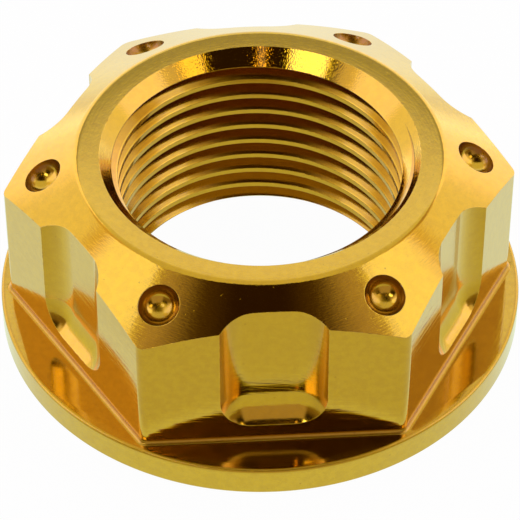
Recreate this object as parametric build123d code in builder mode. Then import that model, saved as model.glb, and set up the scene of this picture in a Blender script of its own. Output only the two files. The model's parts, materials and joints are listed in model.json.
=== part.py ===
"""Axle nut: a flanged hexagon nut turned and milled from one piece of metal.

The seat face lies on the XY plane and the thread runs up +Z, with the origin
in the middle of the seat. Two flats face +Y and -Y. All sizes are in millimetres.
"""

import os
from math import cos, radians, sin, sqrt, tan

from build123d import *

# The thread is metric fine, and its bore is finished to the minor diameter.
# At the seat the bore opens just past the thread's major diameter.
thread_diameter = 22.0
thread_pitch = 1.5
seat_mouth_margin = 0.1

# The hexagon takes a 32 mm socket, and its top is turned to a cone.
across_flats = 32.0
side_count = 6
corner_radius = 0.8
nut_height = 14.9
cone_angle = 30.0

# The land is the flat ring left between the cone and the countersunk mouth.
mouth_margin = 0.45
land_width = 1.65
land_edge_radius = 0.9

# The flange runs round under the hexagon, a little wider than its corners.
flange_thickness = 2.3
flange_margin = 0.75
flange_edge_chamfer = 0.2
foot_radius = 0.3

# Each flat has a pocket, milled with a ball-nosed cutter and open at the top.
pocket_width = 7.5
pocket_depth = 1.1
pocket_sill = 1.4
pocket_cutter_radius = 3.0

# Each corner has a round dimple, sunk square to the cone with a ball-nosed cutter.
dimple_cutter_radius = 1.5
dimple_depth = 1.25
dimple_setback = 2.85

# Sizes that follow from those above.
# An ISO thread's minor diameter lies 5/8 of the triangle's height inside the major one, on each side.
thread_triangle = thread_pitch * sqrt(3) / 2
bore_radius = thread_diameter / 2 - thread_triangle * 5 / 8
mouth_radius = thread_diameter / 2 + mouth_margin
seat_mouth_radius = thread_diameter / 2 + seat_mouth_margin
land_radius = mouth_radius + land_width
cone_slope = tan(radians(cone_angle))
half_corner_angle = radians(180 / side_count)
flat_distance = across_flats / 2
sharp_corner_distance = flat_distance / cos(half_corner_angle)
corner_distance = sharp_corner_distance - corner_radius * (1 / cos(half_corner_angle) - 1)
flange_radius = corner_distance + flange_margin
dimple_distance = corner_distance - dimple_setback


def cone_height(distance):
    """Height of the cone's surface at this distance from the axis."""
    return nut_height - (distance - land_radius) * cone_slope


with BuildPart() as pocket_cutter:
    # The cutter's centre stays in a block, and the offset by the cutter's radius is what it sweeps.
    # At the flat the sweep is narrower than the cutter, because the ball sinks in only part of the way.
    reach_at_flat = sqrt(pocket_cutter_radius**2 - (pocket_cutter_radius - pocket_depth) ** 2)
    centre_width = pocket_width - 2 * reach_at_flat
    centre_bottom = flange_thickness + pocket_sill + reach_at_flat
    centre_distance = flat_distance - pocket_depth + pocket_cutter_radius
    with BuildSketch(Plane.XY.offset(centre_bottom)):
        with Locations((0, -centre_distance)):
            Rectangle(centre_width, pocket_cutter_radius, align=(Align.CENTER, Align.MAX))
    extrude(amount=nut_height - centre_bottom)
    offset(amount=pocket_cutter_radius, kind=Kind.ARC)

with BuildSketch() as hexagon:
    RegularPolygon(flat_distance, side_count, major_radius=False)
    fillet(hexagon.vertices(), corner_radius)

with BuildPart() as axle_nut:
    # The blank is turned: a drum with a cone on top, rounded where it meets the land.
    with BuildSketch(Plane.XZ):
        with BuildLine():
            Polyline(
                (0, 0),
                (flange_radius, 0),
                (flange_radius, cone_height(flange_radius)),
                (land_radius, nut_height),
                (0, nut_height),
                close=True,
            )
        make_face()
        fillet(vertices().sort_by_distance((land_radius, nut_height))[0], land_edge_radius)
    revolve(axis=Axis.Z)

    # The hexagon is milled out of the drum, down to the flange.
    with BuildSketch(Plane.XY.offset(flange_thickness)):
        Circle(flange_radius + flange_margin)
        add(hexagon.sketch, mode=Mode.SUBTRACT)
    extrude(amount=nut_height, mode=Mode.SUBTRACT)

    # The cutter leaves a small radius at the hexagon's foot, and both edges of the rim are broken.
    top_of_flange = edges().filter_by_position(Axis.Z, flange_thickness, flange_thickness)
    foot_edges = top_of_flange.sort_by(SortBy.LENGTH)[:-1]
    fillet(foot_edges, foot_radius)
    rim_edges = edges().filter_by(GeomType.CIRCLE).group_by(SortBy.RADIUS)[-1]
    chamfer(rim_edges, flange_edge_chamfer)

    # Pockets in the flats.
    with PolarLocations(0, side_count):
        add(pocket_cutter.part, mode=Mode.SUBTRACT)

    # Dimples at the corners. The ball's centre stays a little above the cone, square to its surface.
    dimple_lift = dimple_cutter_radius - dimple_depth
    ball_distance = dimple_distance + dimple_lift * sin(radians(cone_angle))
    ball_height = cone_height(dimple_distance) + dimple_lift * cos(radians(cone_angle))
    with Locations((0, 0, ball_height)):
        with PolarLocations(ball_distance, side_count):
            Sphere(dimple_cutter_radius, mode=Mode.SUBTRACT)

    # The bore is drilled through, then countersunk at the mouth and chamfered at the seat.
    Hole(bore_radius)
    bore_edges = edges(Select.LAST).filter_by(GeomType.CIRCLE).sort_by(Axis.Z)
    chamfer(bore_edges[-1], mouth_radius - bore_radius)
    chamfer(bore_edges[0], seat_mouth_radius - bore_radius)

axle_nut.part.label = "axle_nut"
os.makedirs("parts", exist_ok=True)
export_step(axle_nut.part, "parts/axle_nut.step")

print("bore radius", round(bore_radius, 3), "mouth radius", round(mouth_radius, 3))
print("flange diameter", round(2 * flange_radius, 3), "volume", round(axle_nut.part.volume, 1))
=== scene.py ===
# %% [markdown]
# # A gold axle nut
# The nut is one piece of metal: a flange, a hexagon with a coned top, a milled
# pocket in each flat, a round dimple at each corner and a fine thread through
# the middle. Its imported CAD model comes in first, as the frame that nothing here
# may move or outgrow. Its bore is plain, because the thread is made here.

# %% Load the frame
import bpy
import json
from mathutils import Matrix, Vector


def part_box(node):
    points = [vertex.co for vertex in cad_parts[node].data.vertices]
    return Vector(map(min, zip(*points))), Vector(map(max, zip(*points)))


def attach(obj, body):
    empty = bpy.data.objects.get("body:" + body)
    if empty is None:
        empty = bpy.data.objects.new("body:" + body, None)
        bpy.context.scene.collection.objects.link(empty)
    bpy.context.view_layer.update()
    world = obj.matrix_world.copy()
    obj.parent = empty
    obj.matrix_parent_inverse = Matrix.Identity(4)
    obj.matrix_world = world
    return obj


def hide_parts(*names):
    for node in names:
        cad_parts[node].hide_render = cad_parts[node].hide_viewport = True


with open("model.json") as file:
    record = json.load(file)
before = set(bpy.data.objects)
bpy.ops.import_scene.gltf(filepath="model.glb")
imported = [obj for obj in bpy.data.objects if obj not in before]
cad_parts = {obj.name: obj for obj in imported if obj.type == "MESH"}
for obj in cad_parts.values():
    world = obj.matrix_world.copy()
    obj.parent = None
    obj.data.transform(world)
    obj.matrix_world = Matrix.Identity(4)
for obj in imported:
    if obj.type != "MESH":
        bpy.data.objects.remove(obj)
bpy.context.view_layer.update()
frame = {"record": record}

# %% [markdown]
# ## Sizes
# The mesh is worked out in millimetres, because Booleans are steadier on numbers
# near one than on thousandths of a metre. It is scaled to metres at the end. The
# overall sizes come from the frame, and the rest are those of the CAD model.

# %% Sizes from the frame
import json
from math import cos, hypot, pi, radians, sin, sqrt, tan

import bmesh
import bpy
from mathutils import Matrix, Vector

MM = 0.001
low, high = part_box("axle_nut")
nut_height = high.z / MM
flange_radius = min(high.x, high.y) / MM
thread_mount = next(m for m in frame["record"]["mounts"] if m["name"] == "thread")
minor_radius = thread_mount["dims"]["r_mm"]
print("the CAD nut stands from", round(low.z / MM, 2), "to", round(nut_height, 2), "mm")
print("flange radius", round(flange_radius, 2), "bore radius", minor_radius)

# %% Sizes of the nut in millimetres
thread_pitch = 1.5
major_radius = 11.0
mouth_radius = 11.45
seat_mouth_radius = 11.1
land_radius = 13.1
land_edge_radius = 0.9
cone_degrees = 30
cone_angle = radians(cone_degrees)
cone_slope = tan(cone_angle)

sides = 6
flat_distance = 16.0
corner_radius = 0.8
flange_thickness = 2.3
rim_radius = 0.2
foot_radius = 0.3

pocket_width = 7.5
pocket_depth = 1.1
pocket_sill = 1.4
pocket_cutter_radius = 3.0
dimple_cutter_radius = 1.5
dimple_depth = 1.25
dimple_distance = 15.5


def cone_height(distance):
    """Height of the coned top at this distance from the axis."""
    return nut_height - (distance - land_radius) * cone_slope


# %% [markdown]
# ## A pen for outlines
# A turned form is an outline spun about the axis. Typing its points would hide
# where the arcs are, so a small pen draws it the way a drawing is made: a vertex
# is extruded for each straight run, and spun about a centre for each arc.

# %% The pen
ARC_STEPS = 6


class Pen:
    """Draws an outline in the XZ plane of a bmesh, where X is the distance from the axis."""

    def __init__(self, bm, x, z):
        self.bm = bm
        self.tip = bm.verts.new((x, 0, z))

    def line(self, x, z):
        made = bmesh.ops.extrude_vert_indiv(self.bm, verts=[self.tip])
        self.tip = made["verts"][0]
        self.tip.co = (x, 0, z)
        return self

    def arc(self, centre_x, centre_z, angle, steps=ARC_STEPS):
        """Turns the tip about a centre, with a positive angle running from +X towards +Z."""
        centre = (centre_x, 0, centre_z)
        made = bmesh.ops.spin(
            self.bm, geom=[self.tip], cent=centre, axis=(0, -1, 0), angle=radians(angle), steps=steps
        )
        self.tip = next(v for v in made["geom_last"] if isinstance(v, bmesh.types.BMVert))
        return self


# %% [markdown]
# ## Turning
# The lathe spins an outline through a full turn. Its two ends lie on the axis, so
# the spun copies of each end are merged into one pole, and the shell is closed.

# %% The lathe
LATHE_STEPS = 256
WELD = 0.001


def weld(bm):
    """Merges doubled vertices and turns every face outwards."""
    bmesh.ops.remove_doubles(bm, verts=bm.verts, dist=WELD)
    bmesh.ops.recalc_face_normals(bm, faces=bm.faces)


def turn(bm):
    """Spins everything drawn so far about the nut's axis."""
    bmesh.ops.spin(
        bm, geom=bm.verts[:] + bm.edges[:], cent=(0, 0, 0), axis=(0, 0, 1), angle=2 * pi, steps=LATHE_STEPS,
        use_merge=True,
    )
    weld(bm)


# %% [markdown]
# ## The blank
# The hexagon stands on the flange with a small radius at its foot. Each corner of
# a ring is one vertex spun through 60 degrees, so a ring pushed out by an offset
# keeps round corners. Rings of shrinking offset make the foot, and bridging joins
# one ring to the next. The rim of the flange is made the same way from circles,
# and the flat ground between the two is filled with triangles.

# %% Rings of the blank
CORNER_STEPS = 8
half_corner = radians(180 / sides)
corner_centre = (flat_distance - corner_radius) / cos(half_corner)


def hexagon_ring(bm, offset, z):
    """A hexagon with round corners, this far outside the nut's own, as a closed ring of edges."""
    before = set(bm.edges)
    ends = []
    for corner in range(sides):
        turned = Matrix.Rotation(2 * half_corner * corner, 3, "Z")
        centre = turned @ Vector((corner_centre, 0, z))
        reach = Matrix.Rotation(-half_corner, 3, "Z") @ Vector((corner_radius + offset, 0, 0))
        first = bm.verts.new(centre + turned @ reach)
        made = bmesh.ops.spin(
            bm, geom=[first], cent=centre, axis=(0, 0, 1), angle=2 * half_corner, steps=CORNER_STEPS
        )
        last = next(v for v in made["geom_last"] if isinstance(v, bmesh.types.BMVert))
        ends.append((first, last))
    for corner in range(sides):
        bm.edges.new((ends[corner][1], ends[(corner + 1) % sides][0]))
    return [e for e in bm.edges if e not in before]


def round_ring(bm, radius, z):
    """A circle of edges at this height."""
    before = set(bm.edges)
    bmesh.ops.create_circle(bm, segments=LATHE_STEPS, radius=radius, matrix=Matrix.Translation((0, 0, z)))
    return [e for e in bm.edges if e not in before]


def bridge(bm, rings):
    """Joins each ring to the next."""
    for lower, upper in zip(rings, rings[1:]):
        bmesh.ops.bridge_loops(bm, edges=lower + upper)


# %% Make the blank
SPARE = 3.0

blank = bmesh.new()
quarter = [radians(90 * step / ARC_STEPS) for step in range(ARC_STEPS + 1)]
arc = [(1 - sin(angle), 1 - cos(angle)) for angle in quarter]
foot_rings = [
    hexagon_ring(blank, foot_radius * inset, flange_thickness + foot_radius * rise) for inset, rise in arc
]
top_ring = hexagon_ring(blank, 0, nut_height + SPARE)

low_rim = [round_ring(blank, flange_radius - rim_radius * inset, rim_radius * rise) for inset, rise in arc]
high_rim = [
    round_ring(blank, flange_radius - rim_radius * inset, flange_thickness - rim_radius * rise)
    for inset, rise in reversed(arc)
]
rim_rings = low_rim + high_rim
bridge(blank, rim_rings)
bridge(blank, foot_rings + [top_ring])
bmesh.ops.triangle_fill(blank, edges=rim_rings[-1] + foot_rings[0], use_beauty=True, normal=(0, 0, 1))
bmesh.ops.holes_fill(blank, edges=blank.edges, sides=0)
weld(blank)
print("blank:", len(blank.faces), "faces, open edges", sum(e.is_boundary for e in blank.edges))

# %% [markdown]
# ## Tools that cut
# The rest is done as in the workshop, by taking metal away. Each tool is a closed
# shape of its own: a turning tool for the coned top, one for the two mouths of
# the bore, a tap for the thread, a ball-nosed cutter for the pockets and a round
# one for the dimples. A tool keeps its own finish, which it leaves on its cut.

# %% Turning tools
top_tool = bmesh.new()
run_in = land_edge_radius * tan(cone_angle / 2)
outside = flange_radius + SPARE
pen = Pen(top_tool, 0, nut_height)
pen.line(land_radius - run_in, nut_height)
pen.arc(land_radius - run_in, nut_height - land_edge_radius, -cone_degrees)
pen.line(outside, cone_height(outside))
pen.line(outside, nut_height + 2 * SPARE)
pen.line(0, nut_height + 2 * SPARE)
turn(top_tool)

mouth_tool = bmesh.new()
for mouth, face, outwards in ((mouth_radius, nut_height, 1), (seat_mouth_radius, 0, -1)):
    pen = Pen(mouth_tool, 0, face - outwards * SPARE)
    pen.line(mouth - SPARE, face - outwards * SPARE)
    pen.line(mouth + SPARE, face + outwards * SPARE)
    pen.line(0, face + outwards * SPARE)
turn(mouth_tool)
print("turning tools:", len(top_tool.faces), "and", len(mouth_tool.faces), "faces")

# %% [markdown]
# ## The tap
# A thread is one outline, a single pitch long, swept up a helix. Spin does that
# when it is also given a step along the axis. One turn is enough: its copies,
# each a pitch higher, meet edge to edge and are welded. The outline is the metric
# one, with a flat crest of a quarter of the pitch and a root of an eighth. Two
# cuts square to the axis trim the ends.

# %% Make the tap
TAP_STEPS = 200
SPARE_TURNS = 4
ON_PLANE = 1e-5
flank_angle = radians(30)
top_crest_height = 12.592
crests_below = 9
thread_start_height = top_crest_height - crests_below * thread_pitch
thread_start_angle = radians(86.5)

tap = bmesh.new()
flank = (major_radius - minor_radius) * tan(flank_angle)
crest = thread_pitch / 4
root = thread_pitch / 8
pen = Pen(tap, minor_radius, -crest / 2)
pen.line(minor_radius, crest / 2)
pen.line(major_radius, crest / 2 + flank)
pen.line(major_radius, crest / 2 + flank + root)
pen.line(minor_radius, thread_pitch - crest / 2)
lift = Matrix.Translation((0, 0, thread_start_height - thread_pitch))
start = Matrix.Rotation(thread_start_angle, 4, "Z") @ lift
bmesh.ops.transform(tap, matrix=start, verts=tap.verts)
bmesh.ops.spin(
    tap, geom=tap.verts[:] + tap.edges[:], cent=(0, 0, 0), axis=(0, 0, 1), angle=2 * pi,
    steps=TAP_STEPS, dvec=(0, 0, thread_pitch / TAP_STEPS),
)
one_turn = tap.verts[:] + tap.edges[:] + tap.faces[:]
turns = round(nut_height / thread_pitch) + SPARE_TURNS
for turn_number in range(1, turns):
    made = bmesh.ops.duplicate(tap, geom=one_turn)
    copied = [v for v in made["geom"] if isinstance(v, bmesh.types.BMVert)]
    bmesh.ops.translate(tap, vec=(0, 0, turn_number * thread_pitch), verts=copied)
bmesh.ops.remove_doubles(tap, verts=tap.verts, dist=WELD)
radii = [hypot(v.co.x, v.co.y) for v in tap.verts]
print("tap radii", min(radii), max(radii), "top", max(v.co.z for v in tap.verts))
for height, up in ((-thread_pitch / 2, -1), (nut_height + thread_pitch / 2, 1)):
    bmesh.ops.bisect_plane(
        tap, geom=tap.verts[:] + tap.edges[:] + tap.faces[:], dist=ON_PLANE,
        plane_co=(0, 0, height), plane_no=(0, 0, up), clear_outer=True,
    )
bmesh.ops.holes_fill(tap, edges=tap.edges, sides=0)
bmesh.ops.recalc_face_normals(tap, faces=tap.faces)
print("tap:", len(tap.faces), "faces, open edges", sum(e.is_boundary for e in tap.edges))

# %% [markdown]
# ## Pockets and dimples
# A ball-nosed cutter leaves its own radius wherever it stops, so the space that
# it sweeps in a flat is a box with every edge rounded to that radius. The cutter
# sinks in by less than its radius, which makes the pocket's walls slope. Each
# dimple is the ball of a smaller cutter, sunk square to the cone.

# %% Milling tools
BALL_STEPS = 24
BALL_SUBDIVISIONS = 5

pocket_tool = bmesh.new()
reach_at_flat = sqrt(pocket_cutter_radius**2 - (pocket_cutter_radius - pocket_depth) ** 2)
sweep_width = pocket_width - 2 * reach_at_flat + 2 * pocket_cutter_radius
sweep_bottom = flange_thickness + pocket_sill + reach_at_flat - pocket_cutter_radius
sweep_depth = 3 * pocket_cutter_radius
sweep_top = nut_height + sweep_depth
sweep_inside = flat_distance - pocket_depth
for side in range(sides):
    made = bmesh.ops.create_cube(pocket_tool, size=1)
    size = Matrix.Diagonal((sweep_width, sweep_depth, sweep_top - sweep_bottom, 1))
    place = Matrix.Translation((0, -sweep_inside - sweep_depth / 2, (sweep_top + sweep_bottom) / 2))
    around = Matrix.Rotation(2 * half_corner * side, 4, "Z")
    bmesh.ops.transform(pocket_tool, matrix=around @ place @ size, verts=made["verts"])
bmesh.ops.bevel(
    pocket_tool, geom=pocket_tool.edges[:], offset=pocket_cutter_radius, offset_type="OFFSET",
    segments=BALL_STEPS, profile=0.5, affect="EDGES", material=-1,
)
weld(pocket_tool)

dimple_tool = bmesh.new()
square_to_cone = Vector((sin(cone_angle), 0, cos(cone_angle)))
ball_centre = Vector((dimple_distance, 0, cone_height(dimple_distance)))
ball_centre += square_to_cone * (dimple_cutter_radius - dimple_depth)
for corner in range(sides):
    place = Matrix.Rotation(2 * half_corner * corner, 4, "Z") @ Matrix.Translation(ball_centre)
    bmesh.ops.create_icosphere(
        dimple_tool, subdivisions=BALL_SUBDIVISIONS, radius=dimple_cutter_radius, matrix=place
    )
print("milling tools:", len(pocket_tool.faces), "and", len(dimple_tool.faces), "faces")

# %% [markdown]
# ## Cutting the nut
# Each tool becomes an object with its own finish, and a Boolean modifier takes it
# out of the blank. The exact solver copes with faces that only just cross, as the
# tap's crests and the bore's mouths do. It hands each cut the finish of its tool,
# so the turned, milled and threaded faces can be told apart later.

# %% Cut the nut
finishes = {
    name: bpy.data.materials.new("gold_" + name)
    for name in ("milled", "turned", "mouth", "thread", "pocket", "dimple")
}


def as_object(bm, name, finish):
    """An object of this bmesh with one finish."""
    mesh = bpy.data.meshes.new(name)
    bm.to_mesh(mesh)
    bm.free()
    mesh.materials.append(finishes[finish])
    made = bpy.data.objects.new(name, mesh)
    bpy.context.scene.collection.objects.link(made)
    return made


def baked(source, name):
    """A new mesh of an object with its modifiers carried out."""
    evaluated = source.evaluated_get(bpy.context.evaluated_depsgraph_get())
    mesh = bpy.data.meshes.new_from_object(evaluated)
    mesh.name = name
    return mesh


nut = as_object(blank, "gold_nut", "milled")
tools = [
    as_object(top_tool, "top_tool", "turned"),
    as_object(mouth_tool, "mouth_tool", "mouth"),
    as_object(tap, "tap", "thread"),
    as_object(pocket_tool, "pocket_tool", "pocket"),
    as_object(dimple_tool, "dimple_tool", "dimple"),
]
for tool in tools:
    cut = nut.modifiers.new(tool.name, "BOOLEAN")
    cut.object = tool
    cut.operation = "DIFFERENCE"
    cut.solver = "EXACT"
    cut.material_mode = "TRANSFER"
cut_mesh = baked(nut, "gold_nut")
nut.modifiers.clear()
nut.data = cut_mesh
for tool in tools:
    bpy.data.objects.remove(tool)
print("cut nut:", len(cut_mesh.polygons), "faces,", [m.name for m in cut_mesh.materials])

# %% [markdown]
# ## Smooth faces, crisp edges
# Tiny slivers that the cuts leave are dissolved. The mesh is shaded smooth, with
# an edge kept sharp where its two faces meet at more than 25 degrees. A Weighted
# Normal modifier lets the large flat faces win over the narrow fillets beside
# them, or a reflection would bend across the whole flat.

# %% Finish the mesh
SLIVER = 0.002
SHARP_ANGLE = radians(25)

bm = bmesh.new()
bm.from_mesh(nut.data)
bmesh.ops.remove_doubles(bm, verts=bm.verts, dist=SLIVER)
bmesh.ops.dissolve_degenerate(bm, edges=bm.edges, dist=SLIVER / 2)
loose = [v for v in bm.verts if not v.link_faces]
bmesh.ops.delete(bm, geom=loose, context="VERTS")
bmesh.ops.recalc_face_normals(bm, faces=bm.faces)
bmesh.ops.scale(bm, vec=(MM, MM, MM), verts=bm.verts)
for face in bm.faces:
    face.smooth = True
open_edges = sum(not e.is_manifold for e in bm.edges)
triangles = sum(len(f.verts) - 2 for f in bm.faces)
bm.to_mesh(nut.data)
bm.free()
nut.data.set_sharp_from_angle(angle=SHARP_ANGLE)
weigh = nut.modifiers.new("weigh", "WEIGHTED_NORMAL")
weigh.keep_sharp = True
weigh.weight = 50
smooth_mesh = baked(nut, "gold_nut")
nut.modifiers.clear()
nut.data = smooth_mesh
print("nut:", triangles, "triangles, edges without two faces:", open_edges)

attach(nut, "root")
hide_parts("axle_nut")

# %% [markdown]
# ## Shader maths
# A material is easier to read as a sum than as a list of links. This class wraps
# one socket, and Python's operators on it add Math nodes. Any other node comes
# from one method, which sets the node's own settings before its sockets.

# %% Shader expressions
class Wire:
    """An output socket of a node tree that takes part in Python expressions."""

    def __init__(self, tree, socket=None):
        self.tree = tree
        self.socket = socket

    def node(self, kind, settings=None, inputs=None, output=0):
        """Adds a node, sets it up, fills or links its inputs and returns one of its outputs."""
        made = self.tree.nodes.new(kind)
        for name, value in (settings or {}).items():
            setattr(made, name, value)
        for name, value in (inputs or {}).items():
            if isinstance(value, Wire):
                self.tree.links.new(value.socket, made.inputs[name])
            else:
                made.inputs[name].default_value = value
        if made.outputs:
            return Wire(self.tree, made.outputs[output])
        return None

    def maths(self, operation, *others):
        values = dict(enumerate((self, *others)))
        return self.node("ShaderNodeMath", {"operation": operation}, values)

    def __add__(self, other):
        return self.maths("ADD", other)

    def __sub__(self, other):
        return self.maths("SUBTRACT", other)

    def __mul__(self, other):
        return self.maths("MULTIPLY", other)

    def __truediv__(self, other):
        return self.maths("DIVIDE", other)

    def __radd__(self, other):
        return self + other

    def __abs__(self):
        return self.maths("ABSOLUTE")

    def split(self):
        """The X, Y and Z of a vector."""
        made = self.node("ShaderNodeSeparateXYZ", inputs={"Vector": self})
        return [Wire(self.tree, socket) for socket in made.socket.node.outputs]

    def join(self, y, z):
        """A vector of three numbers, this one first."""
        return self.node("ShaderNodeCombineXYZ", inputs={"X": self, "Y": y, "Z": z})

    def rise(self, low, high):
        """0 below low, 1 above high and smooth between, or the reverse where high is below low."""
        values = {"Value": self, "From Min": low, "From Max": high}
        if high < low:
            values = {"Value": self, "From Min": high, "From Max": low, "To Min": 1.0, "To Max": 0.0}
        return self.node("ShaderNodeMapRange", {"interpolation_type": "SMOOTHSTEP"}, values)

    def between(self, low, high, edge):
        """1 between two values and 0 outside them, with smooth edges just inside."""
        return self.rise(low, low + edge) * self.rise(high, high - edge)

    def blend(self, first, second):
        """A number that goes from first to second as this one goes from 0 to 1."""
        return self.node("ShaderNodeMix", {"data_type": "FLOAT"}, {0: self, 2: first, 3: second})

    def tint(self, first, second):
        """A colour that goes from first to second as this number goes from 0 to 1."""
        return self.node("ShaderNodeMix", {"data_type": "RGBA"}, {0: self, 6: first, 7: second}, 2)


def rgb(red, green, blue):
    """A colour for a socket."""
    return (red, green, blue, 1)


def start_tree(owner):
    """Turns on nodes for a material or world and empties its tree."""
    owner.use_nodes = True
    owner.node_tree.nodes.clear()
    return Wire(owner.node_tree)


# %% [markdown]
# ## Marks in the metal
# Polished metal gives itself away by marks far too small to be modelled: rings of
# the turning tool, scores of the cutter, pits and stains. An image of them would
# need its own layout on every face, while noise that reads the place in the metal
# fits any face, at its true size. A mark is a height in metres for a Bump node,
# a patch that is rougher, or a stain. Turning leaves rings, so that noise is
# drawn out round the axis: it reads the direction from the axis, which has no
# seam, and runs quickly along the outline. Milling leaves level scores, and their
# noise is drawn out sideways in the same way.

# %% Noise, rings and scores
MICRON = 0.000001
MEAN_RADIUS = 14 * MM


def noise(wire, place, scale=1.0, detail=2.0):
    """Noise about zero."""
    made = wire.node("ShaderNodeTexNoise", inputs={"Vector": place, "Scale": scale, "Detail": detail})
    return made - 0.5


def from_axis(place):
    """Distance from the nut's axis, the two parts of the direction from it, and height."""
    x, y, z = place.split()
    distance = (x * x + y * y).maths("SQRT")
    return distance, x / distance, y / distance, z


def rings(wire, place, rise, reach, pitch, detail=2.0):
    """Noise in arcs about the axis, reach long. They are a pitch apart along an outline of this rise."""
    distance, direction_x, direction_y, height = from_axis(place)
    turns = MEAN_RADIUS / reach
    outline = (distance + height * rise) / pitch
    return noise(wire, (direction_x * turns).join(direction_y * turns, outline), 1.0, detail)


def scores(wire, place, along, upwards):
    """Noise in nearly level lines, with this many features a metre along them and upwards."""
    x, y, z = place.split()
    level = x * along
    return noise(wire, level.join(y * along, z * upwards + level), 1.0, 3.0)


print("rings at a radius of", MEAN_RADIUS, "m have the reach that is asked for")

# %% [markdown]
# ## Pits and stains
# A pit is a cell of a Voronoi pattern whose middle is close by, and a second
# number of the cell decides whether it has one, so they lie scattered. A stain is
# a soft blotch with fine specks in it. Some marks sit at the same spot in each of
# the six sectors, so one helper folds the sectors onto one another.

# %% Pits, stains and sectors
PIT_FLOOR = 0.3
LOT_EDGE = 0.02
BLOTCH_SCALE = 1800.0
SPECK_SCALE = 8000.0


def pits(wire, place, spacing, radius, share):
    """1 in the middle of a few small round pits and 0 between them."""
    settings = {"feature": "F1"}
    inputs = {"Vector": place, "Scale": 1 / spacing}
    near = wire.node("ShaderNodeTexVoronoi", settings, inputs, "Distance")
    lot = wire.node("ShaderNodeTexVoronoi", settings, inputs, "Color").split()[0]
    return near.rise(radius / spacing, PIT_FLOOR * radius / spacing) * lot.rise(share, share - LOT_EDGE)


def stains(wire, place):
    """Blotches and fine specks from 0 to 1."""
    blotches = noise(wire, place, BLOTCH_SCALE, 3.0).rise(-0.15, 0.15)
    specks = noise(wire, place, SPECK_SCALE).rise(-0.2, 0.2)
    return blotches * 0.6 + specks * 0.4


def folded(place, middle):
    """The place when the six sectors are laid on one another, with the middle of one at this angle."""
    distance, direction_x, direction_y, height = from_axis(place)
    angle = direction_y.maths("ARCTAN2", direction_x) - middle + half_corner
    angle = angle - angle.maths("SNAP", 2 * half_corner) - half_corner
    return (distance * angle.maths("COSINE")).join(distance * angle.maths("SINE"), height)


print("each sector spans", round(2 * half_corner, 4), "radians")

# %% [markdown]
# ## What milling and turning leave
# The flats were milled with the side of a cutter, which leaves faint level scores
# that blur what they mirror from side to side. The small radius at their foot is
# the cutter's nose; it is rougher, and it is painted darker as painted shade. The
# flange under them and the coned top were turned, so they carry rings, and the
# rings on the cone are broken by the tool's chatter. Each function gives a relief
# in metres, a change of roughness and a stain, which in hollows is painted shade.

# %% Marks of milling and turning
def milled_marks(wire, place):
    """Level scores on the flats, rings on the flange and, between, a rougher radius in painted shade."""
    z = place.split()[2]
    on_flange = z.rise(2.45 * MM, 2.40 * MM)
    grain = noise(wire, place, scale=4500.0, detail=3.0) * (1.8 * MICRON)
    score = scores(wire, place, along=400.0, upwards=3400.0) * (11 * MICRON)
    ring = rings(wire, place, rise=1.0, reach=1.5 * MM, pitch=0.12 * MM) * (2 * MICRON)
    pit = pits(wire, place, spacing=0.8 * MM, radius=0.09 * MM, share=0.3)
    relief = on_flange.blend(grain + score, ring + grain) - pit * (2 * MICRON)
    # painted shade: the radius at the foot is painted darker, and it is also rougher
    shaded_foot = z.rise(2.75 * MM, 2.60 * MM) * z.rise(2.29 * MM, 2.32 * MM)
    rim_edge = z.rise(2.00 * MM, 2.12 * MM) * z.rise(2.32 * MM, 2.30 * MM)
    rim = from_axis(place)[0].rise(18.80 * MM, 18.90 * MM) * rim_edge
    patches = noise(wire, place, scale=700.0) * 0.06 + shaded_foot * 0.25 + rim * 0.3
    return relief, patches, stains(wire, place) * 0.2 + shaded_foot * 0.35 + pit * 0.5


def turned_marks(wire, place):
    """Rings of the turning tool, broken up by its chatter, and a few pits."""
    ring = rings(wire, place, rise=-1.0, reach=3.0 * MM, pitch=0.16 * MM) * (3 * MICRON)
    on_cone = from_axis(place)[0].rise(12.7 * MM, 13.3 * MM)
    chatter_depth = on_cone * (2.5 * MICRON) + 3 * MICRON
    chatter = rings(wire, place, rise=-1.0, reach=0.35 * MM, pitch=0.13 * MM, detail=3.0) * chatter_depth
    pit = pits(wire, place, spacing=0.6 * MM, radius=0.07 * MM, share=0.35)
    relief = ring + chatter - pit * (6 * MICRON)
    return relief, noise(wire, place, scale=500.0) * 0.05, stains(wire, place) * 0.18 + pit * 0.3


# %% [markdown]
# ## What the bore's tools leave
# A countersink rattles as it cuts thin metal, which leaves a coarse grain in the
# mouth, with a few rough grains that glint. The tap scores the thread along its
# turns, and the grooves between the crests are painted darker, as painted shade.

# %% Marks in the bore
def mouth_marks(wire, place):
    """Coarse grain of a rattling countersink, with rough grains here and there."""
    ring = rings(wire, place, rise=1.0, reach=1.2 * MM, pitch=0.20 * MM) * (3 * MICRON)
    grain = noise(wire, place, scale=9500.0, detail=0.0) * (6.2 * MICRON)
    glints = noise(wire, place, scale=13000.0, detail=0.0).rise(0.20, 0.32) * 0.15
    return ring + grain, noise(wire, place, scale=600.0) * 0.04 + glints, stains(wire, place) * 0.15


def thread_marks(wire, place):
    """Fine scores along the thread, whose grooves are painted darker as painted shade."""
    ring = rings(wire, place, rise=1.0, reach=2.5 * MM, pitch=0.09 * MM) * (4 * MICRON)
    grain = noise(wire, place, scale=5000.0) * (1.5 * MICRON)
    # painted shade: the grooves between the crests are painted darker
    groove_shade = from_axis(place)[0].rise(10.22 * MM, 10.34 * MM)
    return ring + grain, noise(wire, place, scale=800.0) * 0.10, groove_shade * 0.42 + stains(wire, place) * 0.15
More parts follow.
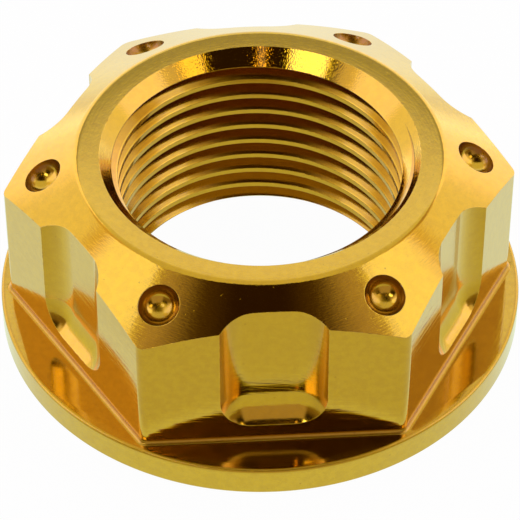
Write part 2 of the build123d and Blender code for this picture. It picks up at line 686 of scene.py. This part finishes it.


# %% [markdown]
# ## What the ball-nosed cutters leave
# The ball of the large cutter runs to and fro across each pocket and leaves level
# scores, close to those of the flats, and the pocket's sides are painted a little
# darker as painted shade. The small one is sunk straight into the cone. Its tip
# barely moves, so it tears the middle of the bowl a little, and its steep sides
# are rougher and painted brown as painted shade.

# %% Marks in pockets and dimples
def pocket_marks(wire, place):
    """Level scores, with walls a little rougher than the floor and in painted shade."""
    score = scores(wire, place, along=500.0, upwards=3600.0) * (10 * MICRON)
    grain = noise(wire, place, scale=5000.0, detail=3.0) * (1.6 * MICRON)
    pit = pits(wire, place, spacing=0.7 * MM, radius=0.08 * MM, share=0.3)
    # painted shade: the pocket's sides are painted a little darker, and are rougher
    shaded_wall = abs(folded(place, half_corner).split()[1]).rise(2.2 * MM, 3.0 * MM)
    patches = noise(wire, place, scale=700.0) * 0.05 + shaded_wall * 0.08
    relief = score + grain - pit * (1.5 * MICRON)
    return relief, patches, stains(wire, place) * 0.14 + shaded_wall * 0.12 + pit * 0.5


def dimple_marks(wire, place):
    """A smooth bowl with a torn middle and rougher sides in painted shade."""
    tip = (ball_centre - square_to_cone * dimple_cutter_radius) * MM
    away = wire.node(
        "ShaderNodeVectorMath", {"operation": "DISTANCE"}, {0: folded(place, 0), 1: tip}, "Value"
    )
    torn = away.rise(0.9 * MM, 0.3 * MM)
    # painted shade: the dimple's steep sides are painted brown, and are rougher
    shaded_wall = away.rise(1.2 * MM, 1.6 * MM)
    grain = noise(wire, place, scale=6000.0) * (torn * (5 * MICRON) + 1 * MICRON)
    patches = noise(wire, place, scale=1500.0) * 0.04 + torn * 0.15 + shaded_wall * 0.2
    return grain, patches, stains(wire, place) * 0.15 + shaded_wall * 0.85


# %% [markdown]
# ## The gold finish
# The metal is a polished alloy, dyed gold under a thin, hard, clear film, so its
# mirror image is tinted and a faint white one lies over it. A fully metallic
# Principled shader with a coat gives both. The fresh colour is the same all over
# and the tools' marks tell the faces apart: a stain, which in hollows is painted
# shade, draws it towards brown. A Bevel node rounds every edge by less than a
# tenth of a millimetre in the light only, which costs no faces. Where that rounded
# normal leaves the true one lies an edge, and there chips of wear are raised and
# a paler colour is painted on them as a painted highlight, and the tools have left
# dark burrs in other places.

# %% Gold
GOLD = rgb(0.70, 0.435, 0.017)
# brown of real stains and of painted shade in hollows
GOLD_STAIN_AND_SHADE = rgb(0.38, 0.17, 0.009)
# painted highlight: the paler colour laid on chips along the edges
GOLD_EDGE_HIGHLIGHT = rgb(0.84, 0.58, 0.12)
GOLD_BURR = rgb(0.30, 0.10, 0.004)
EDGE_ROUND = 0.07 * MM
CHIP_SCALE = 2600.0
CHIP_DEPTH = 50 * MICRON
FILM_IOR = 1.4
FILM_ROUGHNESS = 0.05


def gold(name, roughness, marks):
    """Sets up one gold finish with its marks."""
    wire = start_tree(finishes[name])
    place = wire.node("ShaderNodeTexCoord", output="Object")
    relief, patches, stain_and_shade = marks(wire, place)
    rounded = wire.node("ShaderNodeBevel", {"samples": 6}, {"Radius": EDGE_ROUND})
    true_normal = wire.node("ShaderNodeNewGeometry", output="True Normal")
    facing = wire.node(
        "ShaderNodeVectorMath", {"operation": "DOT_PRODUCT"}, {0: rounded, 1: true_normal}, "Value"
    )
    # edges: wear chips are raised here, and a painted highlight is laid on them
    edge_wear_and_highlight = facing.rise(0.997, 0.95)
    chips = noise(wire, place, CHIP_SCALE, 3.0)
    height = relief + edge_wear_and_highlight * chips * CHIP_DEPTH
    bump = wire.node(
        "ShaderNodeBump", inputs={"Strength": 1.0, "Distance": 1.0, "Height": height, "Normal": rounded}
    )
    # real stains, and painted shade in grooves, on hollow walls and at the foot, draw the colour towards
    # brown
    fresh = stain_and_shade.tint(GOLD, GOLD_STAIN_AND_SHADE)
    # painted highlight along the edges, broken into chips
    edge_highlighted = (edge_wear_and_highlight * chips.rise(-0.10, 0.20)).tint(fresh, GOLD_EDGE_HIGHLIGHT)
    burred = (edge_wear_and_highlight * chips.rise(-0.08, -0.20)).tint(edge_highlighted, GOLD_BURR)
    shader = wire.node(
        "ShaderNodeBsdfPrincipled",
        inputs={
            "Base Color": burred,
            "Metallic": 1.0,
            "Roughness": roughness + patches,
            "Coat Weight": 1.0,
            "Coat Roughness": FILM_ROUGHNESS,
            "Coat IOR": FILM_IOR,
            "Normal": bump,
        },
    )
    wire.node("ShaderNodeOutputMaterial", inputs={"Surface": shader})


gold("milled", roughness=0.07, marks=milled_marks)
gold("turned", roughness=0.08, marks=turned_marks)
gold("mouth", roughness=0.05, marks=mouth_marks)
gold("thread", roughness=0.16, marks=thread_marks)
gold("pocket", roughness=0.13, marks=pocket_marks)
gold("dimple", roughness=0.15, marks=dimple_marks)
print("finishes:", ", ".join(m.name for m in nut.data.materials))

# %% [markdown]
# ## The camera
# The photograph was taken from nearly 45 degrees above, with a long lens and a
# little to the left of a flat. The distance matters as much as the angle, because
# it sets how fast the far rim shrinks, and all of it was found by laying the
# nut's own circles and corners over those of the photograph.

# %% Camera
CAMERA_AZIMUTH = radians(-3.525)
CAMERA_ELEVATION = radians(44.228)
CAMERA_DISTANCE = 0.223155
CAMERA_AIM = Vector((0, 0, 0.00744))
AIM_BELOW = radians(0.615)
LENS = 212.28
FILM_WIDTH = 36
NEAREST = 0.01

camera_data = bpy.data.cameras.new("camera")
camera_data.lens = LENS
camera_data.sensor_width = FILM_WIDTH
camera_data.clip_start = NEAREST
camera = bpy.data.objects.new("camera", camera_data)
bpy.context.scene.collection.objects.link(camera)
turn_to_camera = Matrix.Rotation(CAMERA_AZIMUTH, 4, "Z")
tilt = Matrix.Rotation(pi / 2 - CAMERA_ELEVATION - AIM_BELOW, 4, "X")
seen_from = Vector((0, -cos(CAMERA_ELEVATION), sin(CAMERA_ELEVATION))) * CAMERA_DISTANCE
camera.matrix_world = Matrix.Translation(CAMERA_AIM) @ turn_to_camera @ Matrix.Translation(seen_from) @ tilt
bpy.context.scene.camera = camera
bpy.context.scene.view_settings.view_transform = "Standard"
print("camera at", [round(x, 4) for x in camera.matrix_world.translation])

# %% [markdown]
# ## A tent to mirror
# Polished metal shows little of its own and much of what stands round it, so the
# studio matters as much as the finish. A nut like this is photographed in a tent
# of white cloth, open towards the camera. Area lamps would need a wall of their
# own for each patch. Here the whole tent is painted on the world, by the
# direction in which a ray leaves the nut: two angles for what hangs upright, and
# two distances, across and ahead, on a flat sheet one unit overhead.

# %% Directions in the tent
IN_DEGREES = 180 / pi
LEAST_RISE = 0.02

world = bpy.data.worlds.new("tent")
bpy.context.scene.world = world
wire = start_tree(world)
towards = wire.node("ShaderNodeTexCoord", output="Generated")


def along(direction):
    """How far a direction in the tent goes this way."""
    return wire.node(
        "ShaderNodeVectorMath", {"operation": "DOT_PRODUCT"}, {0: towards, 1: direction}, "Value"
    )


front = along((sin(CAMERA_AZIMUTH), -cos(CAMERA_AZIMUTH), 0))
right = along((cos(CAMERA_AZIMUTH), sin(CAMERA_AZIMUTH), 0))
up = along((0, 0, 1))
height_angle = up.maths("ARCSINE") * IN_DEGREES
round_angle = right.maths("ARCTAN2", front) * IN_DEGREES
across = right / up.maths("MAXIMUM", LEAST_RISE)
ahead = front / up.maths("MAXIMUM", LEAST_RISE)
print("world nodes so far:", len(world.node_tree.nodes))

# %% [markdown]
# ## Cloth at the sides
# The cloth hangs at both sides. It is bright near the camera and again at the very
# back, where its foot is cool with daylight and the rest warmer. In between it is
# dimmer, and its upper half falls off to a warm brown. A dark seam runs down the
# right side, and it is what draws the thin brown streak on the flange.

# %% Side cloths
SEAM_ANGLE = 117
SEAM_HEIGHT = 41

middle_cloth = height_angle.rise(44, 38).tint(rgb(1.05, 0.78, 0.40), rgb(1.42, 1.30, 1.22))
far_cloth = height_angle.rise(7, 11).tint(rgb(2.15, 2.20, 2.40), rgb(1.95, 1.68, 1.95))
cloth = abs(round_angle).rise(128, 138).tint(middle_cloth, far_cloth)
near_cloth = height_angle.rise(48, 42).tint(rgb(1.80, 1.72, 2.10), rgb(1.85, 1.62, 2.60))
cloth = abs(round_angle).rise(110, 104).tint(cloth, near_cloth)
seam = round_angle.rise(SEAM_ANGLE, SEAM_ANGLE + 4) * height_angle.rise(SEAM_HEIGHT, SEAM_HEIGHT + 4)
cloth = seam.tint(cloth, rgb(0.68, 0.48, 0.26))
print("the seam starts", SEAM_ANGLE, "degrees to the right of the camera")

# %% [markdown]
# ## Roof and back wall
# Between the two sides lies a dimmer roof, and behind the nut a wall with a dim
# band across it. The edge between roof and cloth is straight in the tent, so it
# is taken from the distance across and not from an angle.

# %% Roof and back wall
ROOF_HALF_WIDTH = 0.545
CLOTH_FOOT = 2

roof = height_angle.rise(62, 48).tint(rgb(0.95, 0.88, 0.68), rgb(1.1, 1.05, 0.95))
low_wall = height_angle.rise(36, 34).tint(rgb(0.56, 0.56, 0.60), rgb(1.3, 1.3, 1.3))
back_wall = height_angle.rise(40, 44).tint(low_wall, rgb(1.30, 1.29, 1.60))
roof = (abs(round_angle).rise(148, 152) * height_angle.rise(50, 46)).tint(roof, back_wall)
off_roof = abs(across).rise(ROOF_HALF_WIDTH, ROOF_HALF_WIDTH + 0.015)
side = off_roof * height_angle.rise(CLOTH_FOOT, CLOTH_FOOT + 6)
light = side.tint(roof, cloth)
print("the roof reaches", ROOF_HALF_WIDTH, "to each side, one unit overhead")

# %% [markdown]
# ## The dark front
# The camera looks in through an opening, and over it hangs a black hood. That
# hood is the almost black patch in the middle of the cone, and its dim ends are
# the brown beside it. A mirror needs such a dark shape as much as it needs light:
# without it, gold metal looks like yellow paint.

# %% Hood and opening
HOOD_EDGE = 54
HOOD_FULL = 58

in_front = abs(round_angle).rise(92, 88)
hood = in_front * ahead.rise(0.04, 0.07)
brow = abs(across - 0.006).rise(0.605, 0.575) * height_angle.rise(HOOD_EDGE, HOOD_FULL)
hood_cloth = abs(across).rise(0.12, 0.28).tint(rgb(0.034, 0.014, 0.002), rgb(0.085, 0.045, 0.008))
hood_light = abs(across).rise(0.27, 0.52).tint(hood_cloth, rgb(0.66, 0.50, 0.42))
light = (hood * brow).tint(light, hood_light)

room = abs(round_angle).rise(55, 66)
opening = room.tint(rgb(0.03, 0.014, 0.0), rgb(1.10, 0.92, 1.00))
skirt = height_angle.rise(24, 12)
opening = skirt.tint(opening, rgb(0.30, 0.20, 0.08))
apron = height_angle.rise(41, 36) * abs(round_angle - 5).rise(36, 26)
opening = apron.tint(opening, rgb(0.60, 0.46, 0.42))
print("the opening reaches up to", HOOD_FULL, "degrees")

# %% [markdown]
# ## Two cards and a slit
# Small bright cards beside the camera make the sparks in the countersink and the
# two glints in every dimple. A slit of light between them gives the thin line
# that cuts its dark half in two. They are bright but small, so they add sparkle
# and hardly any light.

# %% Cards and slit
TENT_STRENGTH = 0.85

left_card = round_angle.between(-55, -22, 4) * height_angle.between(38, 52, 3)
right_card = round_angle.between(43, 62, 2) * height_angle.between(34, 49, 3)
slit = round_angle.between(-5, 2.5, 1.5) * height_angle.between(47, 51, 1)
opening = left_card.tint(opening, rgb(3.6, 3.3, 3.0))
opening = right_card.tint(opening, rgb(2.4, 1.8, 0.8))
opening = slit.tint(opening, rgb(3.6, 2.2, 0.8))

below_hood = in_front * height_angle.rise(HOOD_FULL, HOOD_EDGE) * abs(round_angle).rise(77, 72)
light = below_hood.tint(light, opening)
background = wire.node("ShaderNodeBackground", inputs={"Color": light, "Strength": TENT_STRENGTH})
wire.node("ShaderNodeOutputWorld", inputs={"Surface": background})
print("world nodes:", len(world.node_tree.nodes))

# %% [markdown]
# ## The table
# The nut stands on a white table, washed out to the white of the page. More light
# would wash out the nut as well, so the white is the table's own: for a ray from
# the camera it mostly gives off a plain 1, and the rest is a matt surface that
# keeps the nut's shadow. Metal and glass have to show that table too, so rays
# that come from a mirror or through glass get the same, with light and shade
# painted on it: it glows brighter towards the back, and it has a warm painted
# shadow in the nut's own shade and a browner painted shadow under the bore.

# %% Table
FLOOR_WIDTH = 3.0
floor_bm = bmesh.new()
bmesh.ops.create_grid(floor_bm, x_segments=1, y_segments=1, size=FLOOR_WIDTH / 2)
floor_mesh = bpy.data.meshes.new("table")
floor_bm.to_mesh(floor_mesh)
floor_bm.free()
floor = bpy.data.objects.new("table", floor_mesh)
bpy.context.scene.collection.objects.link(floor)
print("table", FLOOR_WIDTH, "m wide")

# %% What the table shows
PAGE_SHARE = 0.975
MIRRORED_SHARE = 0.92

floor_paint = bpy.data.materials.new("table_white")
wire = start_tree(floor_paint)
place = wire.node("ShaderNodeTexCoord", output="Object")
from_nut = from_axis(place)[0]
forward = place.split()[1] * -1
# painted light: for mirrored rays the table glows brighter towards the back
far_table_glow = forward.rise(-50 * MM, -110 * MM).tint(rgb(1.08, 1.10, 0.90), rgb(1.25, 1.32, 1.20))
open_table = forward.rise(-10 * MM, -40 * MM).tint(rgb(0.83, 0.92, 0.68), far_table_glow)
# painted shadow on the table in front of the nut, seen only in mirrors
in_shade = forward.rise(0.0, 20 * MM) * from_nut.rise(20.5 * MM, 22.5 * MM)
mirrored_table = in_shade.tint(open_table, rgb(0.67, 0.68, 0.42))
# painted shadow under the bore, darker towards its near side
bore_shadow = forward.rise(1 * MM, 5 * MM).tint(rgb(0.70, 0.71, 0.43), rgb(0.34, 0.24, 0.08))
mirrored_table = from_nut.rise(13 * MM, 12 * MM).tint(mirrored_table, bore_shadow)

seen = wire.node("ShaderNodeLightPath", output="Is Camera Ray")
glossy = wire.node("ShaderNodeLightPath", output="Is Glossy Ray")
through = wire.node("ShaderNodeLightPath", output="Is Transmission Ray")
mirrored = glossy.maths("MAXIMUM", through)
white = mirrored.tint(rgb(1, 1, 1), mirrored_table)
page = wire.node("ShaderNodeEmission", inputs={"Color": white, "Strength": 1.0})
matt = wire.node("ShaderNodeBsdfDiffuse", inputs={"Color": rgb(0.9, 0.9, 0.9)})
washed_out = seen * PAGE_SHARE + mirrored * MIRRORED_SHARE
surface = wire.node("ShaderNodeMixShader", inputs={0: washed_out, 1: matt, 2: page})
wire.node("ShaderNodeOutputMaterial", inputs={"Surface": surface})
floor_mesh.materials.append(floor_paint)
print("table nodes:", len(floor_paint.node_tree.nodes))
